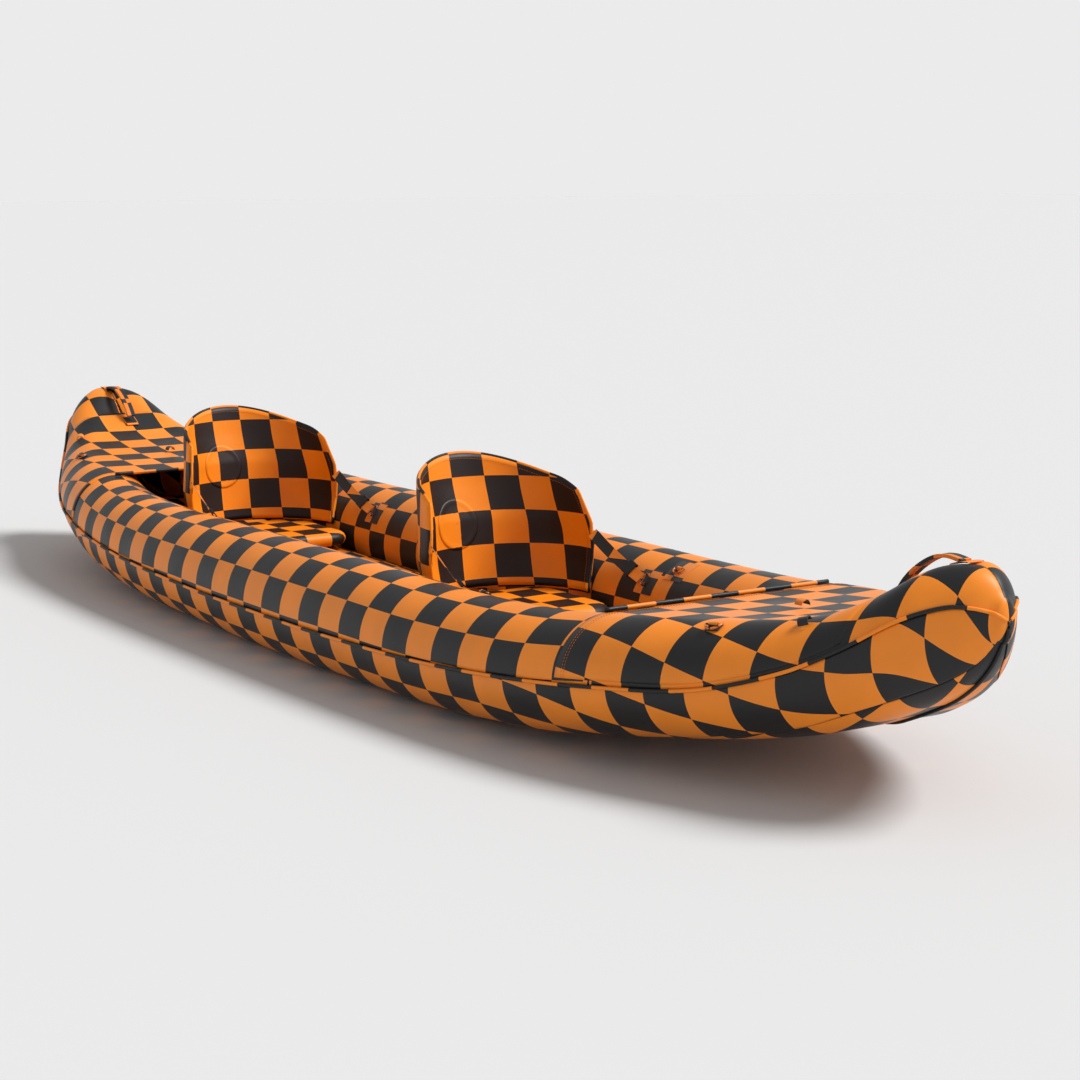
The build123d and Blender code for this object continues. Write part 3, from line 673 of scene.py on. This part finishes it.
def back_print(column, height, seat):
    """Place on the check, from the distance to the middle and the height."""
    first_column, first_row, row_step = BACK_PRINTS[seat]
    return ((column - first_column) / 0.083, (height - first_row) / row_step)


# Where the check starts on each back: distance to starboard, height, and a row's height.
BACK_PRINTS = {"front": (0.025, 0.017, 0.0757), "rear": (0.044, 0.027, 0.0780)}
SHOWN_WALL = 0.010        # the sewn panel is thinner than the frame's solid
RIM_BEAD = 0.0032


def back_grid(seat, seat_x, out, levels, columns):
    """Rows of points over one face of the panel, each with its place on the check."""
    rows = []
    for i in range(levels + 1):
        line, heights = [], []
        for j in range(columns + 1):
            turn = radians(90 + 180 * j / columns)
            # The arch depends on y, and y on the height, so it is found in two steps.
            height = back_top(0.19 * sin(turn)) * i / levels
            height = back_top(back_point(seat_x, turn, height, 0).y) * i / levels
            corner = ease(i / levels, 0.80, 1.0) * max(0.0, abs(j / columns - 0.5) * 2 - 0.80) / 0.20
            height -= 0.020 * corner * corner
            line.append(back_point(seat_x, turn, height, out))
            heights.append(height)
        rows.append([(p, back_print(w, h, seat))
                     for p, w, h in zip(line, walked_along(line), heights)])
    return rows


for seat, seat_x, shift in SEATS:
    points, prints, faces = [], [], []
    for out in (-SHOWN_WALL / 2, SHOWN_WALL / 2):
        for row in back_grid(seat, seat_x, out, BACK_LEVELS, BACK_COLUMNS):
            points += [p for p, _ in row]
            prints += [uv for _, uv in row]
    across = BACK_COLUMNS + 1
    sheet_size = across * (BACK_LEVELS + 1)
    for layer in (0, 1):
        for i in range(BACK_LEVELS):
            for j in range(BACK_COLUMNS):
                a = layer * sheet_size + i * across + j
                quad = (a, a + 1, a + across + 1, a + across)
                faces.append(quad[::-1] if layer == 0 else quad)
    rim = list(range(across))
    rim += [i * across + BACK_COLUMNS for i in range(1, BACK_LEVELS + 1)]
    rim += [BACK_LEVELS * across + j for j in range(BACK_COLUMNS - 1, -1, -1)]
    rim += [i * across for i in range(BACK_LEVELS - 1, 0, -1)]
    for a, b in zip(rim, rim[1:] + rim[:1]):
        faces.append((a, b, b + sheet_size, a + sheet_size))
    back = mesh_piece(f"{seat}_back_panel", points, faces, prints)
    back.data.materials.append(seat_fabric)
    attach(back, f"{seat}_backrest")
    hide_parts(f"{seat}_backrest")

    # A binding tape folded over the raw edge, all round, sewn through both faces.
    middle_line = [(points[k] + points[k + sheet_size]) / 2 for k in rim]
    middle_line.append(middle_line[0])
    binding = swept_tube(f"{seat}_back_binding", middle_line, RIM_BEAD, 8,
                         [prints[k][0] for k in rim] + [prints[rim[0]][0]], squash=1.5)
    binding.data.materials.append(seat_fabric)
    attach(binding, f"{seat}_backrest")

# ---- backrest patches -----------------------------------------------------------------
# A round patch of the seat's own fabric is welded on the front of each back, over its
# inflation valve; its pressed rim catches the light.
PATCH_RADIUS, PATCH_RIM, PATCH_WALL = 0.058, 0.0016, 0.0004
PATCH_RINGS, PATCH_SPOKES = 9, 48
for seat, seat_x, shift in SEATS:
    low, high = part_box(f"{seat}_backrest_disc")
    centre = (low + high) / 2
    grid = back_grid(seat, seat_x, -SHOWN_WALL / 2, 90, 150)
    points, prints, faces = [], [], []
    # The panel's points round the patch, in front of its wings.
    near = [(p, uv) for row in grid for p, uv in row
            if p.x < seat_x - 0.02 and (p.y - centre.y) ** 2 + (p.z - centre.z) ** 2 < 0.09 ** 2]

    def front_at(y, z):
        """How far forward the panel is at y and z, and its place on the check there."""
        chosen = sorted(near, key=lambda q: (q[0].y - y) ** 2 + (q[0].z - z) ** 2)[:6]
        weights = [1 / (1e-9 + (q[0].y - y) ** 2 + (q[0].z - z) ** 2) for q in chosen]
        return [sum(w * v for w, v in zip(weights, values)) / sum(weights) for values in
                ([q[0].x for q in chosen], [q[1][0] for q in chosen], [q[1][1] for q in chosen])]

    for ring in range(PATCH_RINGS + 1):
        share = ring / PATCH_RINGS
        lift = PATCH_WALL + (PATCH_RIM if ring == PATCH_RINGS - 1 else 0)
        for spoke in range(PATCH_SPOKES):
            turn = 2 * pi * spoke / PATCH_SPOKES
            y = centre.y + PATCH_RADIUS * share * cos(turn)
            z = centre.z + PATCH_RADIUS * share * sin(turn)
            x, column, row = front_at(y, z)
            points.append((x + lift, y, z))
            prints.append((column, row))
    for ring in range(PATCH_RINGS):
        inner, outer = ring * PATCH_SPOKES, (ring + 1) * PATCH_SPOKES
        for spoke in range(PATCH_SPOKES):
            k = (spoke + 1) % PATCH_SPOKES
            faces.append((inner + spoke, outer + spoke, outer + k, inner + k))
    patch = mesh_piece(f"{seat}_round_patch", points, faces, prints)
    thicken(patch, PATCH_WALL)
    patch.data.materials.append(seat_fabric)
    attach(patch, f"{seat}_backrest")
    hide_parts(f"{seat}_backrest_disc")

# ---- seat straps ----------------------------------------------------------------------
# Webbing 25 mm wide from each wing of a back to a ring on the tube ahead of it. It bows
# a little between its ends and carries a slide buckle.
STRAP_WIDTH, STRAP_WALL, STRAP_SAG, STRAP_STEPS = 0.025, 0.0018, 0.006, 24


def printed_webbing(name, orange, charcoal, pitch, roughness):
    """Woven polyester webbing: raised picks across it, dyed in alternate lengths."""
    material, tree = new_material(name)
    spot = add_node(tree, "ShaderNodeTexCoord")
    check = add_node(tree, "ShaderNodeTexChecker",
                     {"Color1": linear(orange), "Color2": linear(charcoal), "Scale": 1 / pitch},
                     {"Vector": spot.outputs["Object"]})
    weave = add_node(tree, "ShaderNodeTexWave", {"Scale": 160.0, "Distortion": 1.5,
                                                 "Detail": 1.0, "bands_direction": "DIAGONAL"},
                     {"Vector": spot.outputs["Object"]})
    relief = add_node(tree, "ShaderNodeBump", {"Strength": 0.35, "Distance": 0.0004},
                      {"Height": weave.outputs["Fac"]})
    finish_material(tree, {"Roughness": roughness, "Specular IOR Level": 0.25,
                           "Sheen Weight": 0.15},
                    {"Base Color": check.outputs["Color"], "Normal": relief.outputs["Normal"]})
    return material


# Dyed webbing reads as matte cloth with a faint diagonal rib; its 2 mm rib is drawn at
# the real size.
seat_webbing = printed_webbing("polyester_webbing_dyed", "#E07A17", "#1E1B1A", 0.060, 0.62)


def webbing_strip(name, line, widthwise, width, wall):
    """A flat strip along a line of points, with slightly thicker woven edges."""
    profile = [(-0.5, -0.4), (-0.47, -0.5), (0.0, -0.38), (0.47, -0.5), (0.5, -0.4),
               (0.5, 0.4), (0.47, 0.5), (0.0, 0.38), (-0.47, 0.5), (-0.5, 0.4)]
    points, faces = [], []
    for i, place in enumerate(line):
        ahead = (line[min(i + 1, len(line) - 1)] - line[max(i - 1, 0)]).normalized()
        wide = (widthwise - ahead * widthwise.dot(ahead)).normalized()
        up = ahead.cross(wide)
        points += [place + wide * (u * width) + up * (v * wall) for u, v in profile]
    n = len(profile)
    for i in range(len(line) - 1):
        for j in range(n):
            k = (j + 1) % n
            faces.append((i * n + j, i * n + k, (i + 1) * n + k, (i + 1) * n + j))
    faces.append(tuple(range(n))[::-1])
    faces.append(tuple((len(line) - 1) * n + j for j in range(n)))
    return mesh_piece(name, points, faces, [(0.0, 0.0)] * len(points), smooth=False)


for seat, seat_x, shift in SEATS:
    for side, side_name in SIDES:
        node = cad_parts[f"{seat}_{side_name}_strap"]
        corners = [v.co.copy() for v in node.data.vertices]
        middle = (min(c.x for c in corners) + max(c.x for c in corners)) / 2
        back_half = [c for c in corners if c.x < middle]
        front_half = [c for c in corners if c.x > middle]
        near_end = sum(back_half, Vector()) / len(back_half)
        far_end = sum(front_half, Vector()) / len(front_half)
        widthwise = Vector((0, side * 0.62, 0.78))
        line = [near_end.lerp(far_end, t / STRAP_STEPS)
                - Vector((0, 0, STRAP_SAG * sin(pi * t / STRAP_STEPS)))
                for t in range(STRAP_STEPS + 1)]
        strap = webbing_strip(f"{seat}_{side_name}_webbing", line, widthwise, STRAP_WIDTH, STRAP_WALL)
        strap.data.materials.append(seat_webbing)
        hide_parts(f"{seat}_{side_name}_strap")
        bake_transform(strap)

# ---- grab handles ---------------------------------------------------------------------
# An arch of folded webbing on each nose, sewn down through a patch at both feet. It
# flops to either side about its feet.
HANDLE_WIDTH, HANDLE_WALL, HANDLE_STEPS = 0.024, 0.0065, 5
HANDLE_LINE = [(1.652, 0.374), (1.668, 0.394), (1.690, 0.414), (1.719, 0.433), (1.745, 0.444),
               (1.770, 0.4475), (1.790, 0.4460), (1.806, 0.4435)]
for end, sign in ENDS:
    line = []
    for k in range(len(HANDLE_LINE) - 1):
        p0, p1, p2, p3 = [Vector((sign * HANDLE_LINE[q][0], 0, HANDLE_LINE[q][1])) for q in
                          (max(k - 1, 0), k, k + 1, min(k + 2, len(HANDLE_LINE) - 1))]
        for step in range(HANDLE_STEPS):
            t = step / HANDLE_STEPS
            line.append((p1 * 2 + (p2 - p0) * t + (p0 * 2 - p1 * 5 + p2 * 4 - p3) * t * t
                         + (p1 * 3 - p0 - p2 * 3 + p3) * t ** 3) / 2)
    line.append(p2)
    arch = webbing_strip(f"{end}_grab_strap", line, Vector((0, 1, 0)), HANDLE_WIDTH, HANDLE_WALL)
    arch.data.materials.append(seat_webbing)
    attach(arch, f"{end}_handle")
    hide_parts(f"{end}_handle")

# A patch of hull fabric is welded over each foot and lies along the curve of the nose.
HANDLE_FEET = ((1.640, 1.676), (1.786, 1.828))
FOOT_HALF_WIDTH, FOOT_COLUMNS, FOOT_OUT, FOOT_WALL = 0.019, 12, 0.0050, 0.0016
for end, sign in ENDS:
    points, prints, faces = [], [], []
    for low_x, high_x in HANDLE_FEET:
        first, places, across = len(points), spaced(low_x, high_x, 0.005), FOOT_COLUMNS + 1
        for x in places:
            y, z, breadth, depth, _, _ = section(x)
            top = z + FOOT_OUT
            for k in range(across):
                beside = FOOT_HALF_WIDTH * (2 * k / FOOT_COLUMNS - 1)
                lean = max(0.0, abs(beside) - y) / breadth
                points.append((sign * x, beside, top + depth * sqrt(1 - lean * lean)))
                prints.append((checks_along(x) * 2.4, beside / 0.035 + 0.5))
        for i in range(len(places) - 1):
            for j in range(FOOT_COLUMNS):
                corner = first + i * across + j
                quad = (corner, corner + across, corner + across + 1, corner + 1)
                faces.append(quad if sign > 0 else quad[::-1])
    feet = mesh_piece(f"{end}_handle_feet", points, faces, prints)
    thicken(feet, FOOT_WALL)
    feet.data.materials.append(printed_pvc)
    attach(feet, "hull")
    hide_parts(f"{end}_handle_patches")

# ---- patches, tabs and loops ----------------------------------------------------------
# Squares of the hull's own fabric welded on under each ring, webbing keepers, and low
# webbing loops on the decks to lash gear to.
welded_patch = printed_webbing("welded_patch_fabric_printed", "#E27F20", "#262322", 0.075, 0.50)
for name in ("port_ring_patches", "starboard_ring_patches", "bow_deck_tabs", "stern_deck_tabs",
             "bow_deck_loops", "stern_deck_loops"):
    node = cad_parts[name]
    node.data.materials.clear()
    node.data.materials.append(welded_patch)

# ---- rings ----------------------------------------------------------------------------
# D-rings of 4.4 mm rod, powder coated, each free to swing in its webbing keeper.
coated_rod, tree = new_material("powder_coated_steel_rod")
spot = add_node(tree, "ShaderNodeTexCoord")
bands = add_node(tree, "ShaderNodeTexChecker",
                 {"Color1": linear("#D9741A"), "Color2": linear("#1C1816"), "Scale": 1 / 0.013},
                 {"Vector": spot.outputs["Object"]})
orange_peel = add_node(tree, "ShaderNodeTexNoise", {"Scale": 900.0}, {"Vector": spot.outputs["Object"]})
skin = add_node(tree, "ShaderNodeBump", {"Strength": 0.15, "Distance": 0.0002},
                {"Height": orange_peel.outputs["Fac"]})
finish_material(tree, {"Roughness": 0.24, "Specular IOR Level": 0.5},
                {"Base Color": bands.outputs["Color"], "Normal": skin.outputs["Normal"]})
RINGS = [f"{a}_{b}" for a in ("port", "starboard")
         for b in ("front_strap_ring", "rear_strap_ring", "spare_ring")]
RINGS += [f"{a}_{b}_deck_ring" for a in ("bow", "stern") for b in ("port", "starboard")]
for name in RINGS:
    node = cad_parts[name]
    node.data.materials.clear()
    node.data.materials.append(coated_rod)
    node.data.shade_smooth()

# ---- buckles, valves and the drain ----------------------------------------------------
# Moulded acetal and ABS: slide buckles, inflation valves with ribbed turning caps, and
# the drain's flange and plug. The mould leaves a fine eggshell texture.
moulded_abs, tree = new_material("moulded_abs_black")
spot = add_node(tree, "ShaderNodeTexCoord")
grain = add_node(tree, "ShaderNodeTexNoise", {"Scale": 1400.0, "Detail": 2.0},
                 {"Vector": spot.outputs["Object"]})
cloud = add_node(tree, "ShaderNodeTexNoise", {"Scale": 60.0}, {"Vector": spot.outputs["Object"]})
sheen = add_node(tree, "ShaderNodeMapRange", {"To Min": 0.38, "To Max": 0.55},
                 {"Value": cloud.outputs["Fac"]})
eggshell = add_node(tree, "ShaderNodeBump", {"Strength": 0.2, "Distance": 0.0002},
                    {"Height": grain.outputs["Fac"]})
finish_material(tree, {"Base Color": linear("#1A1818"), "Specular IOR Level": 0.4},
                {"Roughness": sheen.outputs["Result"], "Normal": eggshell.outputs["Normal"]})
for name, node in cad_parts.items():
    if "valve" in name or "drain" in name or "buckle" in name:
        node.data.materials.clear()
        node.data.materials.append(moulded_abs)

# ---- bladders -------------------------------------------------------------------------
# Welded film tubes inside the covers, seen only down the valve holes.
bladder_film, tree = new_material("polyurethane_film_grey")
spot = add_node(tree, "ShaderNodeTexCoord")
crease = add_node(tree, "ShaderNodeTexNoise", {"Scale": 25.0}, {"Vector": spot.outputs["Object"]})
film = add_node(tree, "ShaderNodeBump", {"Strength": 0.3, "Distance": 0.002},
                {"Height": crease.outputs["Fac"]})
finish_material(tree, {"Base Color": linear("#2B2B2D"), "Roughness": 0.35},
                {"Normal": film.outputs["Normal"]})
BLADDER_IN, BLADDER_END = 0.0050, 1.800
for side, side_name in SIDES:
    tube = skin_grid(f"{side_name}_film_tube", side, spaced(-BLADDER_END, BLADDER_END, 0.03), 40,
                     lambda x: 0, lambda x: 360, lambda x: -BLADDER_IN, lambda x, angle: (0.0, 0.0))
    shell = bmesh.new()
    shell.from_mesh(tube.data)
    bmesh.ops.remove_doubles(shell, verts=shell.verts, dist=0.00005)
    open_edges = [e for e in shell.edges if e.is_boundary]
    bmesh.ops.holes_fill(shell, edges=open_edges, sides=0)
    bmesh.ops.recalc_face_normals(shell, faces=shell.faces)
    shell.to_mesh(tube.data)
    shell.free()
    tube.data.materials.append(bladder_film)
    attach(tube, "hull")
    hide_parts(f"{side_name}_bladder")

# ---- stitching ------------------------------------------------------------------------
# Bonded polyester thread holds the seats' bound rims and the two hems at the cockpit edge
# of each deck. It is drawn 1.1 mm thick, coarser than the real 0.6 mm, so that it shows.
STITCH_PITCH, STITCH_LENGTH, STITCH_WIDTH = 0.0062, 0.0044, 0.0011
bonded_thread, tree = new_material("bonded_polyester_thread")
spot = add_node(tree, "ShaderNodeTexCoord")
twist = add_node(tree, "ShaderNodeTexWave", {"Scale": 400.0, "bands_direction": "DIAGONAL"},
                 {"Vector": spot.outputs["Object"]})
ply = add_node(tree, "ShaderNodeBump", {"Strength": 0.4, "Distance": 0.0003},
               {"Height": twist.outputs["Fac"]})
finish_material(tree, {"Base Color": linear("#C9702A"), "Roughness": 0.6,
                       "Specular IOR Level": 0.3}, {"Normal": ply.outputs["Normal"]})

stitching = bpy.data.node_groups.new("run_of_stitches", "GeometryNodeTree")
sockets = {}
for label, kind in (("Geometry", "NodeSocketGeometry"), ("Pitch", "NodeSocketFloat"),
                    ("Stitch Length", "NodeSocketFloat"), ("Thread Width", "NodeSocketFloat"),
                    ("Thread", "NodeSocketMaterial")):
    sockets[label] = stitching.interface.new_socket(label, in_out="INPUT", socket_type=kind)
stitching.interface.new_socket("Geometry", in_out="OUTPUT", socket_type="NodeSocketGeometry")
inlet = add_node(stitching, "NodeGroupInput")
seam_curve = add_node(stitching, "GeometryNodeMeshToCurve", {}, {"Mesh": inlet.outputs["Geometry"]})
paced = add_node(stitching, "GeometryNodeResampleCurve", {"mode": "LENGTH"},
                 {"Curve": seam_curve.outputs["Curve"], "Length": inlet.outputs["Pitch"]})
places = add_node(stitching, "GeometryNodeCurveToPoints", {"mode": "EVALUATED"},
                  {"Curve": paced.outputs["Curve"]})
grain_shape = add_node(stitching, "GeometryNodeMeshUVSphere", {"Segments": 6, "Rings": 4,
                                                               "Radius": 0.5})
stretch = add_node(stitching, "ShaderNodeCombineXYZ", {},
                   {"X": inlet.outputs["Thread Width"], "Y": inlet.outputs["Thread Width"],
                    "Z": inlet.outputs["Stitch Length"]})
laid = add_node(stitching, "GeometryNodeInstanceOnPoints", {},
                {"Points": places.outputs["Points"], "Instance": grain_shape.outputs["Mesh"],
                 "Rotation": places.outputs["Rotation"], "Scale": stretch.outputs["Vector"]})
solid_stitches = add_node(stitching, "GeometryNodeRealizeInstances", {},
                          {"Geometry": laid.outputs["Instances"]})
threaded = add_node(stitching, "GeometryNodeSetMaterial", {},
                    {"Geometry": solid_stitches.outputs["Geometry"],
                     "Material": inlet.outputs["Thread"]})
add_node(stitching, "NodeGroupOutput", {}, {"Geometry": threaded.outputs["Geometry"]})


def sew(name, lines, body):
    """Stitches along several lines of points, as one mesh riding on a body."""
    points, edges = [], []
    for line in lines:
        start = len(points)
        points += [tuple(p) for p in line]
        edges += [(start + k, start + k + 1) for k in range(len(line) - 1)]
    mesh = bpy.data.meshes.new(name)
    mesh.from_pydata(points, edges, [])
    run = bpy.data.objects.new(name, mesh)
    bpy.context.scene.collection.objects.link(run)
    nodes = run.modifiers.new("stitches", "NODES")
    nodes.node_group = stitching
    for label, value in (("Pitch", STITCH_PITCH), ("Stitch Length", STITCH_LENGTH),
                         ("Thread Width", STITCH_WIDTH), ("Thread", bonded_thread)):
        nodes[sockets[label].identifier] = value
    depsgraph = bpy.context.evaluated_depsgraph_get()
    sewn = bpy.data.meshes.new_from_object(run.evaluated_get(depsgraph))
    run.modifiers.clear()
    run.data = sewn
    sewn.shade_smooth()
    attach(run, body)


hems = []
for sign in (1, -1):
    for inset in (0.016, 0.022):
        x = DECK_EDGE_X + inset
        hems.append([(sign * x, y, z + 0.0003) for y, z, _ in deck_line(x)])
sew("deck_hem_stitches", hems, "hull")
for seat, seat_x, shift in SEATS:
    face = [[p for p, _ in row] for row in
            back_grid(seat, seat_x, -SHOWN_WALL / 2 - 0.0002, BACK_LEVELS, BACK_COLUMNS)]
    rim_run = [face[i][1] for i in range(1, BACK_LEVELS)]
    rim_run += face[BACK_LEVELS - 1][2:BACK_COLUMNS - 1]
    rim_run += [face[i][BACK_COLUMNS - 1] for i in range(BACK_LEVELS - 1, 0, -1)]
    sew(f"{seat}_back_stitches", [rim_run], f"{seat}_backrest")
